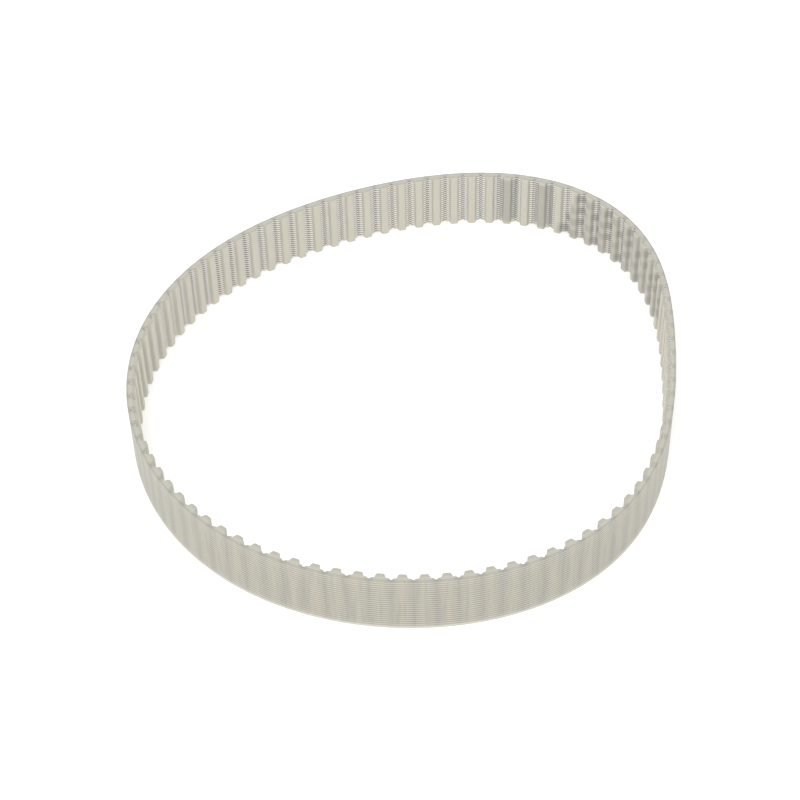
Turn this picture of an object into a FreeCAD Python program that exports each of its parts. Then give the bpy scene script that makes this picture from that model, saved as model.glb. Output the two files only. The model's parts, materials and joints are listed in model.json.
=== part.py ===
"""Endless toothed timing belt, polyurethane on a steel tension cord, standing on its edge.

The belt is one elastic moulding round one long cord. Here it is divided at every third tooth gap
into sections that hinge on each other, because the belt bends in its gaps. Each section is two
nodes: the polyurethane with its three teeth, and the lengths of cord that are moulded into it. The
polyurethane's solid is whole, so the cord's solids lie inside it.

Belt coordinates: s runs along the cord line, counter-clockwise seen from above, n is the distance
from the cord line towards the inside of the loop, and z is the height above the belt's lower edge.
"""

import FreeCAD, Part

import math
import os

# Belt size, in millimetres and degrees.
PITCH = 5.0
TEETH = 90
WIDTH = 16.0
TOOTH_HEIGHT = 1.2
BACK_THICKNESS = 1.0
TOOTH_ROOT_WIDTH = 2.65
FLANK_ANGLE = 20.0
TOOTH_RADIUS = 0.4

# Steel tension cord: one cord, wound as a flat helix in the middle of the back.
CORD_DIAMETER = 0.3
CORD_LINE_TO_LAND = 0.5
CORD_TURNS = 22
CORD_SPACING = 0.7

# Winding notch: the groove across the middle of each tooth gap, open down to the cord.
NOTCH_TOP_WIDTH = 1.1
NOTCH_FLOOR_WIDTH = 0.36
NOTCH_FLOOR = 0.05

# Division into sections. Each end face leans back from the hinge by half of what the hinge can turn.
TEETH_PER_SECTION = 3
LARGEST_BEND = 10.0
RELIEF_ANGLE = LARGEST_BEND / 2 + 0.5
SLIT = 0.01
CORD_SLIT = 0.02

# Shape of the free loop: its direction is a circle's, plus harmonics of the turn in degrees.
START_DIRECTION = -5.2
LOOP_HARMONICS = {2: (5.48, 42.7), 3: (6.60, 270.2), 4: (3.61, 146.0), 5: (0.69, 51.4)}

SECTIONS = TEETH // TEETH_PER_SECTION
SECTION_LENGTH = PITCH * TEETH_PER_SECTION
LOOP_LENGTH = PITCH * TEETH
OUTER = CORD_LINE_TO_LAND - BACK_THICKNESS
LAND = CORD_LINE_TO_LAND
TIP = CORD_LINE_TO_LAND + TOOTH_HEIGHT


class Arc:
    """One section's stretch of the cord line: where it starts, its direction there and its curvature."""

    def __init__(self, x, y, direction, curvature):
        self.x = x
        self.y = y
        self.direction = direction
        self.curvature = curvature

    def at(self, s, n):
        """The point at belt coordinates (s, n), counted from the start of this section."""
        turn = self.curvature * s
        half = turn / 2
        chord = s * (math.sin(half) / half if half else 1.0)
        heading = self.direction + half
        here = self.direction + turn
        x = self.x + chord * math.cos(heading) - n * math.sin(here)
        y = self.y + chord * math.sin(heading) + n * math.cos(here)
        return x, y


def loop_direction(s, closing):
    """Direction of the cord line at s, in radians. closing is the first harmonic that closes the loop."""
    turn = 2 * math.pi * s / LOOP_LENGTH
    direction = math.radians(START_DIRECTION) + turn
    for order, (size, phase) in LOOP_HARMONICS.items():
        direction += math.radians(size) * math.sin(order * turn + math.radians(phase))
    return direction + closing[0] * math.sin(turn) + closing[1] * math.cos(turn)


def lay_arcs(closing):
    """The sections' arcs end to end from (0, 0), and the point where the last one ends."""
    arcs = []
    x = y = 0.0
    for i in range(SECTIONS):
        start = loop_direction(i * SECTION_LENGTH, closing)
        end = loop_direction((i + 1) * SECTION_LENGTH, closing)
        if i == SECTIONS - 1:
            end = loop_direction(0.0, closing) + 2 * math.pi
        arc = Arc(x, y, start, (end - start) / SECTION_LENGTH)
        x, y = arc.at(SECTION_LENGTH, 0.0)
        arcs.append(arc)
    return arcs, (x, y)


def close_loop():
    """Finds the first harmonic for which the last section ends where the first one starts."""
    closing = [0.0, 0.0]
    step = 1e-6
    for _ in range(8):
        gap = lay_arcs(closing)[1]
        by_sine = lay_arcs([closing[0] + step, closing[1]])[1]
        by_cosine = lay_arcs([closing[0], closing[1] + step])[1]
        a, c = ((by_sine[k] - gap[k]) / step for k in (0, 1))
        b, d = ((by_cosine[k] - gap[k]) / step for k in (0, 1))
        scale = a * d - b * c
        closing[0] -= (d * gap[0] - b * gap[1]) / scale
        closing[1] -= (a * gap[1] - c * gap[0]) / scale
    return lay_arcs(closing)[0]


def furthest(arcs, angle):
    """How far the outer face reaches in the direction at angle, in radians from +X."""
    reach = []
    for arc in arcs:
        steps = 60
        for k in range(steps + 1):
            x, y = arc.at(SECTION_LENGTH * k / steps, OUTER)
            reach.append(x * math.cos(angle) + y * math.sin(angle))
    return max(reach)


def centred_loop():
    """The sections' arcs, moved so that the loop's outer size is centred on the origin."""
    arcs = close_loop()
    right, back = furthest(arcs, 0.0), furthest(arcs, math.pi / 2)
    left, front = furthest(arcs, math.pi), furthest(arcs, -math.pi / 2)
    for arc in arcs:
        arc.x -= (right - left) / 2
        arc.y -= (back - front) / 2
    return arcs


def tooth_corners():
    """The gap-to-gap outline of one tooth as (s, n, radius), from the notch before it to the next."""
    half_root = TOOTH_ROOT_WIDTH / 2
    half_tip = half_root - TOOTH_HEIGHT * math.tan(math.radians(FLANK_ANGLE))
    middle = PITCH / 2
    rising = [
        (NOTCH_FLOOR_WIDTH / 2, NOTCH_FLOOR, 0.0),
        (NOTCH_TOP_WIDTH / 2, LAND, 0.0),
        (middle - half_root, LAND, TOOTH_RADIUS),
        (middle - half_tip, TIP, TOOTH_RADIUS),
    ]
    return rising + [(PITCH - s, n, radius) for s, n, radius in reversed(rising)]


def section_corners():
    """The whole outline of a section as (s, n, radius), inner side first and then the outer face."""
    relief = math.tan(math.radians(RELIEF_ANGLE))
    end = SECTION_LENGTH
    corners = [(SLIT, 0.0, 0.0), (SLIT + NOTCH_FLOOR * relief, NOTCH_FLOOR, 0.0)]
    for tooth in range(TEETH_PER_SECTION):
        corners += [(s + tooth * PITCH, n, radius) for s, n, radius in tooth_corners()]
    corners += [(end - SLIT - NOTCH_FLOOR * relief, NOTCH_FLOOR, 0.0), (end - SLIT, 0.0, 0.0)]
    corners += [(end - SLIT + OUTER * relief, OUTER, 0.0), (SLIT - OUTER * relief, OUTER, 0.0)]
    return corners


def rounded(corners):
    """The outline as edges in belt coordinates: pairs of points, or three points for a rounded corner."""
    cut = []
    rounds = []
    count = len(corners)
    for k, (s, n, radius) in enumerate(corners):
        before, after = corners[k - 1], corners[(k + 1) % count]
        to_before = math.atan2(before[1] - n, before[0] - s)
        to_after = math.atan2(after[1] - n, after[0] - s)
        if not radius:
            cut.append(((s, n), (s, n)))
            rounds.append(None)
            continue
        opening = abs((to_after - to_before + math.pi) % (2 * math.pi) - math.pi)
        back = radius / math.tan(opening / 2)
        first = (s + back * math.cos(to_before), n + back * math.sin(to_before))
        last = (s + back * math.cos(to_after), n + back * math.sin(to_after))
        inward = math.atan2(
            math.sin(to_before) + math.sin(to_after), math.cos(to_before) + math.cos(to_after)
        )
        depth = radius / math.sin(opening / 2) - radius
        cut.append((first, last))
        rounds.append((first, (s + depth * math.cos(inward), n + depth * math.sin(inward)), last))
    edges = []
    for k in range(count):
        if rounds[k]:
            edges.append(rounds[k])
        edges.append((cut[k][1], cut[(k + 1) % count][0]))
    return edges


def bent_edge(arc, points):
    """An outline edge laid on the section's arc. What runs along the belt becomes an arc itself."""
    (s0, n0), (s1, n1) = points[0], points[-1]
    if len(points) == 3:
        middle = points[1]
    elif n0 == n1:
        middle = ((s0 + s1) / 2, n0)
    else:
        middle = None
    start = FreeCAD.Vector(*arc.at(s0, n0), 0.0)
    end = FreeCAD.Vector(*arc.at(s1, n1), 0.0)
    if middle is None:
        return Part.LineSegment(start, end).toShape()
    return Part.Arc(start, FreeCAD.Vector(*arc.at(*middle), 0.0), end).toShape()


def cord_height(turn, s):
    """Height of the cord's centre on the given turn at s round the whole loop: one spacing each turn."""
    lowest = (WIDTH - CORD_TURNS * CORD_SPACING) / 2
    return lowest + CORD_SPACING * (turn + s / LOOP_LENGTH)


def cord_section(arc, index):
    """The cord's turns through one section, as separate solids, each rising with the helix."""
    start, end = CORD_SLIT, SECTION_LENGTH - CORD_SLIT
    middle = SECTION_LENGTH / 2
    lead = math.degrees(math.atan(CORD_SPACING / LOOP_LENGTH))
    x, y = arc.at(middle, 0.0)
    heading = arc.direction + arc.curvature * middle
    across = FreeCAD.Vector(-math.sin(heading), math.cos(heading), 0.0)
    line = Part.Arc(
        FreeCAD.Vector(*arc.at(start, 0.0), 0.0),
        FreeCAD.Vector(x, y, 0.0),
        FreeCAD.Vector(*arc.at(end, 0.0), 0.0),
    )
    first = arc.direction + arc.curvature * start
    along = FreeCAD.Vector(math.cos(first), math.sin(first), 0.0)
    ring = Part.Wire(Part.makeCircle(CORD_DIAMETER / 2, line.StartPoint, along))
    strand = Part.Wire(line.toShape()).makePipeShell([ring], True, False)
    strand.rotate(FreeCAD.Vector(x, y, 0.0), across, -lead)
    strands = []
    for turn in range(CORD_TURNS):
        height = cord_height(turn, (index + 0.5) * SECTION_LENGTH)
        copy = strand.copy()
        copy.translate(FreeCAD.Vector(0.0, 0.0, height))
        strands.append(copy)
    return Part.makeCompound(strands)


def belt_section(arc):
    """The polyurethane of one section: the bent outline over the belt's width."""
    edges = [bent_edge(arc, points) for points in rounded(section_corners())]
    face = Part.Face(Part.Wire(edges))
    return face.extrude(FreeCAD.Vector(0.0, 0.0, WIDTH))


def main():
    os.makedirs("parts", exist_ok=True)
    for index, arc in enumerate(centred_loop()):
        number = f"{index + 1:02d}"
        belt_section(arc).exportStep(f"parts/belt_section_{number}.step")
        cord_section(arc, index).exportStep(f"parts/cord_section_{number}.step")


if __name__ == "__main__":
    main()
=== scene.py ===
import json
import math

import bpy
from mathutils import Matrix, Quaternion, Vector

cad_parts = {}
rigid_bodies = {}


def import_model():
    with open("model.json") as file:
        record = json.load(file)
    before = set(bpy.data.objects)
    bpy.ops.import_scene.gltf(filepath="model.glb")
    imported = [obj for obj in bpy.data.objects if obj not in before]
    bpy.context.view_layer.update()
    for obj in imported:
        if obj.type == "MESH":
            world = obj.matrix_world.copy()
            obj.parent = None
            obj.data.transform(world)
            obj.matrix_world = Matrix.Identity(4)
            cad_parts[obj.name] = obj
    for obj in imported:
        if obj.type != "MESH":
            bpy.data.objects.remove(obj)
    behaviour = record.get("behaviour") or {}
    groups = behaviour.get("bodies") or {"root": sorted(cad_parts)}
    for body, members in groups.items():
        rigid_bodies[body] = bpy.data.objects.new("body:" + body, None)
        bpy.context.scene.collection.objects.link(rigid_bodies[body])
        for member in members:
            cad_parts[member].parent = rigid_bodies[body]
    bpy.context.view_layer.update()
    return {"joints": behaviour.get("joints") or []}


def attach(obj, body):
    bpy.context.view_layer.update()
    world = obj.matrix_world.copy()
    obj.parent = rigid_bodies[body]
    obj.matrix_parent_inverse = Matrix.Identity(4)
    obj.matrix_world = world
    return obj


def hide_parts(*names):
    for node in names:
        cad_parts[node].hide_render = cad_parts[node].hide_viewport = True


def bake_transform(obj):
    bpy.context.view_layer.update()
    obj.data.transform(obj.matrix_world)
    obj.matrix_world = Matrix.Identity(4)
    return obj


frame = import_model()

# The looks of an endless polyurethane timing belt with a steel tension cord.
#
# Belt coordinates: s runs along the cord line, counter-clockwise seen from above. n is the distance from
# the cord line towards the inside of the loop. z is the height above the belt's lower edge. The sizes below
# are in millimetres and degrees where nothing else is said, and the meshes are made in metres.

MM = 0.001

# Belt size. OUTER, LAND, TIP and NOTCH_FLOOR are values of n.
PITCH = 5.0
TEETH = 90
WIDTH = 16.0
OUTER = -0.5
LAND = 0.5
TIP = 1.7
TOOTH_ROOT_WIDTH = 2.65
FLANK_ANGLE = 20.0
TOOTH_RADIUS = 0.4
NOTCH_TOP_WIDTH = 1.1
NOTCH_FLOOR_WIDTH = 0.36
NOTCH_FLOOR = 0.05
NOTCH_FLOOR_RADIUS = 0.06
NOTCH_RADIUS = 0.12
EDGE_RADIUS = 0.09

# Steel cord.
CORD_RADIUS = 0.15
CORD_TURNS = 22
CORD_SPACING = 0.7
LOWEST_CORD = (WIDTH - CORD_TURNS * CORD_SPACING) / 2
CORD_SIDES = 10
CORD_STEP = 0.5

# How finely the meshes are divided.
ROUND_STEPS = 5
EDGE_STEPS = 3
HEIGHT_ROWS = 8
THICKNESS_ROWS = 4
LONGEST_RUN = 0.3
SHARP_ANGLE = 40.0

# Block print on the smooth side: rows of short blocks, then two tall bars between the given places.
PRINT_START = 141.0
PRINT_BLOCKS = 10
PRINT_BLOCK_SPACING = 4.9
PRINT_BLOCK_SHARE = 0.74
PRINT_UNEVENNESS = 1.2
PRINT_WAVE_RATE = 0.62
LOWEST_PRINT_ROW = 1.9
PRINT_ROW_SPACING = 3.9
PRINT_ROW_SHARE = 0.56
PRINT_ROW_SHIFT = 1.7
PRINT_MARGIN = 0.7
PRINT_BARS = ((194.5, 199.5), (205.0, 209.5))
PRINT_BAR_MARGIN = 1.4
PRINT_BAR_SHARE = 0.8

# Shape of the free loop: the direction in which it starts, then the size and phase of each harmonic.
START_DIRECTION = -5.2
LOOP_HARMONICS = {2: (5.48, 42.7), 3: (6.60, 270.2), 4: (3.61, 146.0), 5: (0.69, 51.4)}

# Division into the frame's sections.
TEETH_PER_SECTION = 3
SECTIONS = TEETH // TEETH_PER_SECTION
SECTION_LENGTH = PITCH * TEETH_PER_SECTION
LOOP_LENGTH = PITCH * TEETH

# How far from a hinge the points before and after it are taken, and the room on each side of the open
# pivot's end faces.
FLEX = 5.0
OPEN_PIVOT = 20
OPEN_ROOM = 0.001

# The most that the loop may be off the frame's hinges.
HINGE_TOLERANCE = 0.01

# Camera, about a point on the floor near the middle of the loop.
LOOK_AT = (-1.34, 0.78, 0.0)
CAMERA_DISTANCE = 490.23
CAMERA_ELEVATION = 43.77
CAMERA_ROLL = 1.46
CAMERA_LENS = 86.93
CAMERA_SENSOR = 36.0
CAMERA_CLIP_START = 10.0

# Studio: the places and sizes are in metres, and the light's power in watts.
KEY_PLACE = (-0.18, -0.50, 0.84)
KEY_DIAMETER = 0.7
KEY_POWER = 2.9
WORLD_STRENGTH = 0.95
FLOOR_HALF_WIDTH = 3.0
FLOOR_COLOUR = (0.80, 0.80, 0.80)
FLOOR_GLOW = 0.34
WHITE = (1.0, 1.0, 1.0)


# ---------------------------------------------------------------------------------------------------------
# The loop


def loop_direction(s, closing):
    """Direction of the cord line at s, in radians. closing is the first harmonic that closes the loop."""
    turn = 2 * math.pi * s / LOOP_LENGTH
    direction = math.radians(START_DIRECTION) + turn
    for order, (size, phase) in LOOP_HARMONICS.items():
        direction += math.radians(size) * math.sin(order * turn + math.radians(phase))
    return direction + closing[0] * math.sin(turn) + closing[1] * math.cos(turn)


def on_arc(arc, s, n):
    """The point at (s, n) on a section's arc (x, y, direction, curvature), s counted from its start."""
    x, y, direction, curvature = arc
    turn = curvature * s
    chord = s * (math.sin(turn / 2) / (turn / 2) if turn else 1.0)
    heading = direction + turn / 2
    here = direction + turn
    return (
        x + chord * math.cos(heading) - n * math.sin(here),
        y + chord * math.sin(heading) + n * math.cos(here),
    )


def lay_arcs(closing):
    """The sections' arcs end to end from (0, 0), and the point where the last one ends."""
    arcs = []
    point = (0.0, 0.0)
    for i in range(SECTIONS):
        start = loop_direction(i * SECTION_LENGTH, closing)
        end = loop_direction((i + 1) * SECTION_LENGTH, closing)
        arc = (*point, start, (end - start) / SECTION_LENGTH)
        point = on_arc(arc, SECTION_LENGTH, 0.0)
        arcs.append(arc)
    return arcs, point


def close_loop():
    """Finds the first harmonic for which the last section ends where the first one starts."""
    closing = [0.0, 0.0]
    step = 1e-6
    rounds = 8
    for _ in range(rounds):
        gap = lay_arcs(closing)[1]
        by_sine = lay_arcs([closing[0] + step, closing[1]])[1]
        by_cosine = lay_arcs([closing[0], closing[1] + step])[1]
        a, c = ((by_sine[k] - gap[k]) / step for k in (0, 1))
        b, d = ((by_cosine[k] - gap[k]) / step for k in (0, 1))
        scale = a * d - b * c
        closing[0] -= (d * gap[0] - b * gap[1]) / scale
        closing[1] -= (a * gap[1] - c * gap[0]) / scale
    return lay_arcs(closing)[0]


def body(number):
    """The name of a section's body. The numbers go on round the loop: 0 is the last section."""
    return f"section_{(number - 1) % SECTIONS + 1:02d}"


def frame_loop():
    """The sections' arcs where the frame has them: its hinge between sections 1 and 2 gives the place."""
    arcs = close_loop()
    hinge_at = {frozenset((j["parent"], j["child"])): j["pos_m"] for j in frame["joints"]}
    x, y, _ = hinge_at[frozenset((body(1), body(2)))]
    dx, dy = x / MM - arcs[1][0], y / MM - arcs[1][1]
    arcs = [(arc[0] + dx, arc[1] + dy, arc[2], arc[3]) for arc in arcs]
    for number in range(1, SECTIONS + 1):
        hinge = hinge_at.get(frozenset((body(number - 1), body(number))))
        arc = arcs[number - 1]
        if hinge and math.dist((hinge[0] / MM, hinge[1] / MM), arc[:2]) > HINGE_TOLERANCE:
            raise ValueError(f"the loop leaves the frame's hinge before {body(number)}")
    return arcs


ARCS = frame_loop()


def place(s, n, z):
    """The point at (s, n, z) in the CAD model's frame, in metres."""
    s %= LOOP_LENGTH
    index = min(int(s // SECTION_LENGTH), SECTIONS - 1)
    x, y = on_arc(ARCS[index], s - index * SECTION_LENGTH, n)
    return Vector((x * MM, y * MM, z * MM))


# ---------------------------------------------------------------------------------------------------------
# Meshes


def corner_arc(corner, before, after, radius, steps):
    """Points of the round between two straight runs that meet at corner."""
    to_before = math.atan2(before[1] - corner[1], before[0] - corner[0])
    to_after = math.atan2(after[1] - corner[1], after[0] - corner[0])
    opening = abs((to_after - to_before + math.pi) % (2 * math.pi) - math.pi)
    inward = math.atan2(
        math.sin(to_before) + math.sin(to_after), math.cos(to_before) + math.cos(to_after)
    )
    reach = radius / math.sin(opening / 2)
    centre = (corner[0] + reach * math.cos(inward), corner[1] + reach * math.sin(inward))
    back = radius / math.tan(opening / 2)
    first = (corner[0] + back * math.cos(to_before), corner[1] + back * math.sin(to_before))
    start = math.atan2(first[1] - centre[1], first[0] - centre[0])
    sweep = (math.pi - opening) * (1 if math.sin(to_before - to_after) > 0 else -1)
    angles = [start + sweep * k / steps for k in range(steps + 1)]
    return [(centre[0] + radius * math.cos(a), centre[1] + radius * math.sin(a)) for a in angles]


def half_tooth():
    """Toothed side from a gap's middle to the next tooth's, as (distance from the gap's middle, n)."""
    root = (PITCH - TOOTH_ROOT_WIDTH) / 2
    tip = root + (TIP - LAND) * math.tan(math.radians(FLANK_ANGLE))
    corners = [
        ((0.0, NOTCH_FLOOR), 0.0),
        ((NOTCH_FLOOR_WIDTH / 2, NOTCH_FLOOR), NOTCH_FLOOR_RADIUS),
        ((NOTCH_TOP_WIDTH / 2, LAND), NOTCH_RADIUS),
        ((root, LAND), TOOTH_RADIUS),
        ((tip, TIP), TOOTH_RADIUS),
        ((PITCH / 2, TIP), 0.0),
    ]
    outline = [corners[0][0]]
    for k in range(1, len(corners) - 1):
        corner, radius = corners[k]
        outline += corner_arc(corner, corners[k - 1][0], corners[k + 1][0], radius, ROUND_STEPS)
    return outline + [corners[-1][0]]


def spread_out(points, longest):
    """The same outline with extra points on its long runs."""
    fuller = [points[0]]
    for before, after in zip(points, points[1:]):
        parts = max(1, math.ceil(math.dist(before, after) / longest))
        for k in range(1, parts + 1):
            fuller.append(tuple(a + (b - a) * k / parts for a, b in zip(before, after)))
    return fuller


def inner_outline(first_gap, teeth):
    """(s, n) along the toothed side, from one gap's middle over the given number of teeth."""
    rising = spread_out(half_tooth(), LONGEST_RUN)
    falling = [(PITCH - s, n) for s, n in reversed(rising[:-1])]
    outline = [(first_gap, NOTCH_FLOOR)]
    for tooth in range(teeth):
        outline += [(first_gap + tooth * PITCH + s, n) for s, n in (rising + falling)[1:]]
    return outline


def ring(inner):
    """The belt's cross-section as (n, z), with its toothed side at inner. Its edges are slightly round."""
    corners = [(OUTER, 0.0), (OUTER, WIDTH), (inner, WIDTH), (inner, 0.0)]
    rows = (HEIGHT_ROWS, THICKNESS_ROWS, HEIGHT_ROWS, THICKNESS_ROWS)
    rounds = []
    for k, corner in enumerate(corners):
        rounds.append(corner_arc(corner, corners[k - 1], corners[(k + 1) % 4], EDGE_RADIUS, EDGE_STEPS))
    points = []
    for k in range(4):
        points += rounds[k]
        last, following = rounds[k][-1], rounds[(k + 1) % 4][0]
        for step in range(1, rows[k]):
            share = step / rows[k]
            points.append(tuple(a + (b - a) * share for a, b in zip(last, following)))
    return points


def build_mesh(name, points, faces, marks):
    """A mesh object with the given numbers stored on its points, smooth but for its sharp edges."""
    mesh = bpy.data.meshes.new(name)
    mesh.from_pydata(points, [], faces)
    for mark, values in marks.items():
        mesh.attributes.new(mark, "FLOAT", "POINT").data.foreach_set("value", values)
    mesh.validate()
    mesh.shade_smooth()
    mesh.set_sharp_from_angle(angle=math.radians(SHARP_ANGLE))
    piece = bpy.data.objects.new(name, mesh)
    bpy.context.scene.collection.objects.link(piece)
    return piece


def tube_faces(rings, sides, start=0):
    """Faces of a closed tube of rings, with an end face at each end."""
    faces = []
    for k in range(rings - 1):
        low, high = start + k * sides, start + (k + 1) * sides
        for j in range(sides):
            following = (j + 1) % sides
            faces.append((low + j, high + j, high + following, low + following))
    last = start + (rings - 1) * sides
    faces.append(tuple(start + j for j in range(sides)))
    faces.append(tuple(last + j for j in reversed(range(sides))))
    return faces


def moulding(name, start, end):
    """A stretch of the polyurethane moulding. Each end is in a gap's middle, or just short of it."""
    points, along, inward, height = [], [], [], []
    outline = inner_outline(round(start / PITCH) * PITCH, round((end - start) / PITCH))
    for s, inner in outline:
        s = min(max(s, start), end)
        for n, z in ring(inner):
            points.append(place(s, n, z))
            along.append(s)
            inward.append(n)
            height.append(z)
    sides = len(points) // len(outline)
    marks = {"along": along, "inward": inward, "height": height}
    return build_mesh(name, points, tube_faces(len(outline), sides), marks)


def cord_height(turn, s):
    """Height of the cord's centre on the given turn: it climbs one spacing each time round."""
    return LOWEST_CORD + CORD_SPACING * (turn + s / LOOP_LENGTH)


def cord_turns(name, start, end):
    """The cord's turns between two places along the belt. The cord begins and ends at s = 0."""
    points, along, around, faces = [], [], [], []
    for turn in range(CORD_TURNS + 1):
        first = max(start, -turn * LOOP_LENGTH)
        last = min(end, (CORD_TURNS - turn) * LOOP_LENGTH)
        if last <= first:
            continue
        steps = round((last - first) / CORD_STEP)
        faces += tube_faces(steps + 1, CORD_SIDES, len(points))
        for k in range(steps + 1):
            s = first + (last - first) * k / steps
            middle = cord_height(turn, s)
            for side in range(CORD_SIDES):
                angle = 2 * math.pi * side / CORD_SIDES
                n, z = CORD_RADIUS * math.cos(angle), middle + CORD_RADIUS * math.sin(angle)
                points.append(place(s, n, z))
                along.append(s)
                around.append(abs(side / CORD_SIDES - 0.5))
    return build_mesh(name, points, faces, {"along": along, "around": around})


# ---------------------------------------------------------------------------------------------------------
# Materials


class Nodes:
    """Short ways to add nodes to a material. A value is a number, a colour or another node's output."""

    def __init__(self, name):
        self.material = bpy.data.materials.new(name)
        self.material.use_nodes = True
        self.tree = self.material.node_tree
        self.shader = self.tree.nodes["Principled BSDF"]

    def put(self, socket, value):
        """Links a node's output to the socket, or sets the socket to a number or colour."""
        if isinstance(value, bpy.types.NodeSocket):
            self.tree.links.new(value, socket)
        elif socket.type == "RGBA":
            socket.default_value = (*value, 1.0)
        else:
            socket.default_value = value

    def mark(self, name):
        """A number stored on the mesh."""
        node = self.tree.nodes.new("ShaderNodeAttribute")
        node.attribute_name = name
        return node.outputs["Fac"]

    def math(self, operation, *values):
        node = self.tree.nodes.new("ShaderNodeMath")
        node.operation = operation
        for socket, value in zip(node.inputs, values):
            self.put(socket, value)
        return node.outputs[0]

    def times(self, *values):
        """The product of all the values."""
        product = values[0]
        for value in values[1:]:
            product = self.math("MULTIPLY", product, value)
        return product

    def either(self, *shares):
        """The largest of the shares."""
        most = shares[0]
        for share in shares[1:]:
            most = self.math("MAXIMUM", most, share)
        return most

    def spread(self, share, low, high):
        """A number that goes straight from low to high as share goes from 0 to 1."""
        return self.math("MULTIPLY_ADD", share, high - low, low)

    def step(self, value, low, high):
        """0 at low, 1 at high and smooth between them. low may be the larger one."""
        node = self.tree.nodes.new("ShaderNodeMapRange")
        node.interpolation_type = "SMOOTHSTEP"
        limits = (high, low, 1.0, 0.0) if low > high else (low, high, 0.0, 1.0)
        for socket, entry in zip(node.inputs, (value, *limits)):
            self.put(socket, entry)
        return node.outputs[0]

    def between(self, value, low, high, soft):
        """1 from low to high and 0 outside, with edges that are soft wide."""
        return self.times(self.step(value, low - soft, low), self.step(value, high + soft, high))

    def mix(self, share, first, second, how="MIX"):
        """The first colour, changed by the second as far as share says."""
        node = self.tree.nodes.new("ShaderNodeMix")
        node.data_type = "RGBA"
        node.blend_type = how
        sockets = {socket.identifier: socket for socket in node.inputs}
        self.put(sockets["Factor_Float"], share)
        self.put(sockets["A_Color"], first)
        self.put(sockets["B_Color"], second)
        return next(socket for socket in node.outputs if socket.identifier == "Result_Color")

    def noise(self, spot, scale, detail=2.0):
        node = self.tree.nodes.new("ShaderNodeTexNoise")
        self.put(node.inputs["Vector"], spot)
        node.inputs["Scale"].default_value = scale
        node.inputs["Detail"].default_value = detail
        return node.outputs["Fac"]

    def combine(self, x, y, z):
        node = self.tree.nodes.new("ShaderNodeCombineXYZ")
        for socket, value in zip(node.inputs, (x, y, z)):
            self.put(socket, value)
        return node.outputs[0]

    def bump(self, height, strength, distance):
        node = self.tree.nodes.new("ShaderNodeBump")
        self.put(node.inputs["Height"], height)
        node.inputs["Strength"].default_value = strength
        node.inputs["Distance"].default_value = distance
        self.put(self.shader.inputs["Normal"], node.outputs[0])

    def surface(self, settings):
        """Sets the surface shader's sockets, by their names."""
        for name, value in settings.items():
            self.put(self.shader.inputs[name], value)


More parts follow.
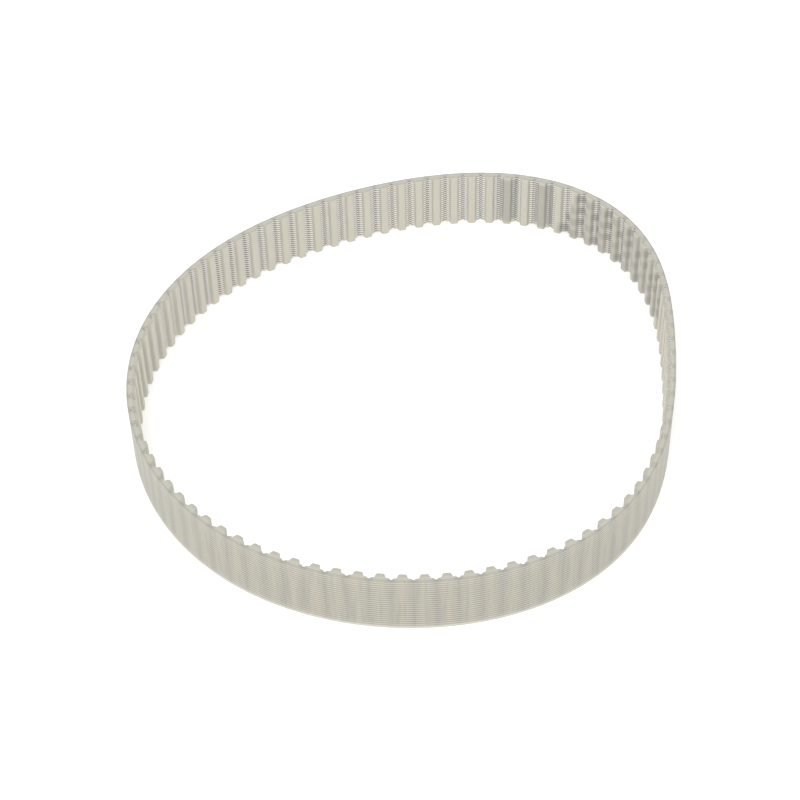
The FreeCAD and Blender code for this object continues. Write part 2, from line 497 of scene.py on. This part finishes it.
class BeltNodes(Nodes):
    """The polyurethane's nodes. What all its sides share is made once. Distances are in millimetres."""

    def __init__(self):
        super().__init__("polyurethane")
        self.along = self.mark("along")
        self.inward = self.mark("inward")
        self.height = self.mark("height")
        spot = self.combine(self.along, self.inward, self.height)
        self.cloud = self.noise(spot, scale=0.16, detail=3.0)
        self.grain = self.noise(spot, scale=2.4)
        self.from_gap = self.math("PINGPONG", self.along, PITCH / 2)
        self.cord = self.over_cord()
        self.has_cord = self.between(self.height, 0.35, WIDTH - 0.35, 0.3)

    def over_cord(self):
        """1 over the middle of a cord turn, 0 halfway between two turns."""
        climb = self.times(self.along, CORD_SPACING / LOOP_LENGTH)
        level = self.math("SUBTRACT", self.math("SUBTRACT", self.height, climb), LOWEST_CORD)
        wave = self.math("COSINE", self.times(level, 2 * math.pi / CORD_SPACING))
        return self.spread(wave, 0.5, 1.0)

    def streaks(self, stretch, scale, detail=2.0):
        """Noise that runs up the belt's sides. stretch is how fast it changes that way."""
        return self.noise(self.combine(self.along, 0.0, self.times(self.height, stretch)), scale, detail)

    def stripes(self, distance, period, share, softness):
        """Stripes of the given period, each taking about the given share of it. softness goes up to 1."""
        wave = self.math("COSINE", self.times(distance, 2 * math.pi / period))
        middle = math.cos(math.pi * share)
        return self.step(wave, middle - softness, middle + softness)

    def print_mask(self, softness, haze=0.0):
        """A faded block print on the smooth side: rows of uneven short blocks, then two tall bars.

        haze is how much of the blocks' darkness spreads into the spaces between them."""
        above = self.math("SUBTRACT", self.height, LOWEST_PRINT_ROW)
        row = self.math("ROUND", self.times(above, 1 / PRINT_ROW_SPACING))
        shifted = self.math("MULTIPLY_ADD", row, PRINT_ROW_SHIFT, self.along)
        even = self.math("SUBTRACT", shifted, PRINT_START + PRINT_ROW_SHIFT)
        wave = self.math("SINE", self.times(even, PRINT_WAVE_RATE))
        uneven = self.math("MULTIPLY_ADD", wave, PRINT_UNEVENNESS, even)
        from_block = self.math("SUBTRACT", uneven, PRINT_BLOCK_SPACING / 2)
        blocks = self.times(
            self.stripes(from_block, PRINT_BLOCK_SPACING, PRINT_BLOCK_SHARE, softness),
            self.stripes(above, PRINT_ROW_SPACING, PRINT_ROW_SHARE, softness),
        )
        rows = self.times(
            self.spread(blocks, haze, 1.0),
            self.between(uneven, 0.0, PRINT_BLOCKS * PRINT_BLOCK_SPACING, softness),
            self.between(self.height, PRINT_MARGIN, WIDTH - PRINT_MARGIN, softness),
        )
        bars = self.either(*(self.between(self.along, start, end, softness) for start, end in PRINT_BARS))
        tall = self.between(self.height, PRINT_BAR_MARGIN, WIDTH - PRINT_BAR_MARGIN, 2 * softness)
        return self.either(rows, self.times(bars, tall, PRINT_BAR_SHARE))

    def smooth_side(self):
        """The smooth side: the teeth, the notches and the cord show through it, and it has the print."""
        over_gap, over_tooth = (0.379, 0.357, 0.302), (0.452, 0.427, 0.352)
        over_notch = (0.290, 0.275, 0.250)
        beside_turn, over_turn = (0.740, 0.720, 0.630), (0.150, 0.142, 0.130)
        streak_colour = (0.300, 0.288, 0.262)
        # The low and rim colours are painted light from the floor on the lower part of the side; the rim
        # also has no cord under it.
        floor_light_colour, rim_and_floor_light_colour = (0.600, 0.583, 0.510), (0.640, 0.625, 0.555)
        high_colour = (0.600, 0.583, 0.500)
        ink_colour = (0.085, 0.085, 0.095)
        cord_share = 0.55

        # Bands over the teeth and gaps, and a line over each notch that fades here and there.
        colour = self.mix(self.step(self.from_gap, 0.2, 2.4), over_gap, over_tooth)
        fade = self.step(self.streaks(stretch=0.15, scale=0.33), 0.35, 0.62)
        notch_line = self.times(self.step(self.from_gap, 0.50, 0.15), self.spread(fade, 0.15, 0.60))
        colour = self.mix(notch_line, colour, over_notch)

        # The cord's lines.
        light = self.mix(cord_share, colour, beside_turn)
        dark = self.mix(cord_share, colour, over_turn)
        lines = self.times(self.has_cord, self.spread(self.grain, 0.55, 1.0))
        colour = self.mix(lines, colour, self.mix(self.cord, light, dark))

        # Dull streaks, and lighter polyurethane towards both edges, where no cord lies under it. Towards
        # the lower edge it gets much lighter, and from higher up: painted light from the floor.
        streak = self.step(self.streaks(stretch=0.08, scale=1.1, detail=3.0), 0.42, 0.72)
        colour = self.mix(self.times(streak, 0.35), colour, streak_colour)
        colour = self.mix(self.times(self.step(self.height, 2.6, 0.6), 0.22), colour, floor_light_colour)
        colour = self.mix(self.times(self.step(self.height, 1.0, 0.45), 0.75), colour, rim_and_floor_light_colour)
        colour = self.mix(self.times(self.step(self.height, 12.0, 15.0), 0.10), colour, high_colour)

        ink = self.times(self.print_mask(softness=0.08), self.spread(self.grain, 0.12, 0.70))
        return self.mix(ink, colour, ink_colour)

    def lands(self):
        """The lands and the notches in them: bright between the cord's turns, dark over them. The bright
        colours are painted light: lighter than the polyurethane is, to make up for the shade between the
        teeth, and near white in the notches.
        """
        # Painted light: the colours beside the turns are near white, far lighter than the polyurethane, to
        # lift the shade in the gaps and notches.
        over_turn, over_notch_turn = (0.275, 0.258, 0.232), (0.080, 0.068, 0.055)
        beside_turn, notch_painted_light = (0.970, 0.945, 0.890), (1.0, 0.975, 0.930)
        plain_colour, top_shade_colour = (0.620, 0.600, 0.530), (0.420, 0.410, 0.375)
        shadow_tint = (0.54, 0.54, 0.57)

        in_notch = self.step(self.inward, LAND - 0.02, LAND - 0.12)
        dark = self.mix(in_notch, over_turn, over_notch_turn)
        light = self.mix(in_notch, beside_turn, notch_painted_light)
        lines = self.times(self.has_cord, self.spread(self.grain, 0.65, 1.0))
        colour = self.mix(lines, plain_colour, self.mix(self.cord, light, dark))
        shadow = self.times(self.print_mask(softness=0.25, haze=0.2), self.spread(self.grain, 0.45, 1.0))
        colour = self.mix(shadow, colour, shadow_tint, "MULTIPLY")
        # Painted shade at the top end of the lands and notches, near the upper edge.
        return self.mix(self.times(self.step(self.height, 15.0, 15.5), 0.6), colour, top_shade_colour)

    def teeth(self):
        """The teeth: cream, with the cord and the print only faint behind them."""
        dark_cream, light_cream = (0.550, 0.530, 0.456), (0.612, 0.590, 0.508)
        over_turn = (0.300, 0.290, 0.250)
        shadow_tint = (0.560, 0.560, 0.600)

        colour = self.mix(self.cloud, dark_cream, light_cream)
        on_flank = self.spread(self.step(self.inward, 1.5, 0.7), 0.14, 0.45)
        colour = self.mix(self.times(self.cord, self.has_cord, on_flank), colour, over_turn)
        shadow = self.times(self.print_mask(softness=0.6, haze=0.45), self.spread(self.cloud, 0.35, 0.90))
        return self.mix(shadow, colour, shadow_tint, "MULTIPLY")

    def cut_edge(self):
        """The flat edges: darker at the outer line, with painted shade beside the notches, and the streaks
        of the cut.
        """
        in_teeth, in_back, outer_line = (0.462, 0.449, 0.384), (0.512, 0.497, 0.431), (0.420, 0.409, 0.358)
        notch_shade_tint = (0.76, 0.77, 0.79)
        cut_colour = (0.380, 0.372, 0.330)

        colour = self.mix(self.step(self.inward, 1.1, 0.5), in_teeth, in_back)
        colour = self.mix(self.step(self.inward, 0.1, -0.30), colour, outer_line)
        # Painted shade on the edge beside each notch, mottled by the cloud.
        by_notch = self.times(self.step(self.from_gap, 1.5, 0.3), self.step(self.inward, 0.6, 0.2))
        notch_shade = self.times(by_notch, self.spread(self.cloud, 0.5, 1.0))
        colour = self.mix(notch_shade, colour, notch_shade_tint, "MULTIPLY")
        cut = self.combine(self.times(self.along, 0.25), self.times(self.inward, 5.0), 0.0)
        streak = self.step(self.noise(cut, scale=1.0, detail=3.0), 0.45, 0.75)
        return self.mix(self.times(streak, 0.30), colour, cut_colour)


def polyurethane():
    """Milky cream elastomer. The cord shows through where little polyurethane covers it."""
    m = BeltNodes()
    edge = m.cut_edge()
    toothed_side = m.mix(m.step(m.inward, 0.95, 0.52), m.teeth(), m.lands())
    colour = m.mix(m.step(m.inward, OUTER + 0.06, OUTER + 0.01), edge, m.smooth_side())
    colour = m.mix(m.step(m.inward, 0.0, 0.04), colour, toothed_side)
    rim = m.either(m.step(m.height, 0.05, 0.0), m.step(m.height, WIDTH - 0.05, WIDTH))
    m.surface({
        "Base Color": m.mix(rim, colour, edge),
        "Roughness": m.spread(m.grain, 0.42, 0.60),
        "Specular IOR Level": 0.35,
        "Subsurface Weight": 0.25,
        "Subsurface Radius": (0.6, 0.5, 0.3),
        "Subsurface Scale": 0.8 * MM,
    })
    relief = m.math("MULTIPLY_ADD", m.cord, 0.5, m.times(m.grain, 0.3))
    m.bump(relief, strength=0.25, distance=0.04 * MM)
    return m.material


def steel_cord():
    """Stranded steel: the strands' twist shows as fine slanting lines, with painted shade in the grooves
    between the strands.
    """
    strand_groove_shade, on_strand = (0.07, 0.062, 0.053), (0.34, 0.315, 0.275)
    m = Nodes("steel_cord")
    twist = m.math("MULTIPLY_ADD", m.mark("along"), 0.9, m.times(m.mark("around"), 6.0))
    strand = m.step(m.math("PINGPONG", twist, 0.5), 0.0, 0.3)
    m.surface({
        "Base Color": m.mix(strand, strand_groove_shade, on_strand),
        "Roughness": 0.42,
        "Metallic": 0.8,
    })
    m.bump(strand, strength=0.6, distance=0.03 * MM)
    return m.material


# ---------------------------------------------------------------------------------------------------------
# The belt
#
# Each piece runs from two teeth before a hinge to one tooth past it, so its seams are in the middle of gaps
# where nothing bends.


def add_stretch(label, start, end, rubber, steel):
    """The moulding and the cord's turns between two places along the belt."""
    plastic = moulding(f"moulding_{label}", start, end)
    cord = cord_turns(f"cord_turns_{label}", start, end)
    plastic.data.materials.append(rubber)
    cord.data.materials.append(steel)
    return plastic, cord


def add_belt():
    """Adds every stretch of belt over the hinge between two sections. The one at the open pivot is cut in
    two, and each half is attached to its section.
    """
    rubber, steel = polyurethane(), steel_cord()
    for number in range(1, SECTIONS + 1):
        hinge = (number - 1) * SECTION_LENGTH
        start, end = hinge - 2 * PITCH, hinge + PITCH
        if number == OPEN_PIVOT:
            for piece in add_stretch(f"{number - 1:02d}_end", start, hinge - OPEN_ROOM, rubber, steel):
                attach(piece, body(number - 1))
            plastic, cord = add_stretch(f"{number:02d}", hinge + OPEN_ROOM, end, rubber, steel)
            for piece in (plastic, cord):
                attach(piece, body(number))
        else:
            plastic, cord = add_stretch(f"{number:02d}", start, end, rubber, steel)
            before = place(hinge - FLEX, 0.0, WIDTH / 2)
            after = place(hinge + FLEX, 0.0, WIDTH / 2)
            for piece in (plastic, cord):
                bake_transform(piece)
        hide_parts(f"belt_section_{number:02d}")
        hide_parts(f"cord_section_{number:02d}")


# ---------------------------------------------------------------------------------------------------------
# Floor, light and camera


def add_floor():
    """A plain floor that glows a little, so that it is as white as its surroundings."""
    floor = bpy.data.objects.new("floor", bpy.data.meshes.new("floor"))
    reach = FLOOR_HALF_WIDTH
    corners = [(-reach, -reach, 0), (reach, -reach, 0), (reach, reach, 0), (-reach, reach, 0)]
    floor.data.from_pydata(corners, [], [(0, 1, 2, 3)])
    m = Nodes("floor")
    m.surface({
        "Base Color": FLOOR_COLOUR,
        "Roughness": 0.9,
        "Specular IOR Level": 0.0,
        "Emission Color": WHITE,
        "Emission Strength": FLOOR_GLOW,
    })
    floor.data.materials.append(m.material)
    bpy.context.scene.collection.objects.link(floor)


def add_studio():
    """White surroundings and one soft round light that points at the origin."""
    world = bpy.data.worlds.new("studio")
    world.use_nodes = True
    background = world.node_tree.nodes["Background"]
    background.inputs["Color"].default_value = (*WHITE, 1.0)
    background.inputs["Strength"].default_value = WORLD_STRENGTH
    bpy.context.scene.world = world
    bpy.context.scene.view_settings.view_transform = "Standard"
    light = bpy.data.lights.new("key", "AREA")
    light.shape = "DISK"
    light.size = KEY_DIAMETER
    light.energy = KEY_POWER
    lamp = bpy.data.objects.new("key", light)
    lamp.location = KEY_PLACE
    lamp.rotation_mode = "QUATERNION"
    lamp.rotation_quaternion = Vector(KEY_PLACE).to_track_quat("Z", "Y")
    bpy.context.scene.collection.objects.link(lamp)


def add_camera():
    data = bpy.data.cameras.new("camera")
    data.lens = CAMERA_LENS
    data.sensor_width = CAMERA_SENSOR
    data.clip_start = CAMERA_CLIP_START * MM
    camera = bpy.data.objects.new("camera", data)
    rise = math.radians(CAMERA_ELEVATION)
    back = Vector((0.0, -math.cos(rise), math.sin(rise)))
    camera.location = (Vector(LOOK_AT) + back * CAMERA_DISTANCE) * MM
    roll = Quaternion((0.0, 0.0, 1.0), math.radians(-CAMERA_ROLL))
    camera.rotation_mode = "QUATERNION"
    camera.rotation_quaternion = back.to_track_quat("Z", "Y") @ roll
    bpy.context.scene.collection.objects.link(camera)
    bpy.context.scene.camera = camera


add_camera()
add_belt()
add_floor()
add_studio()
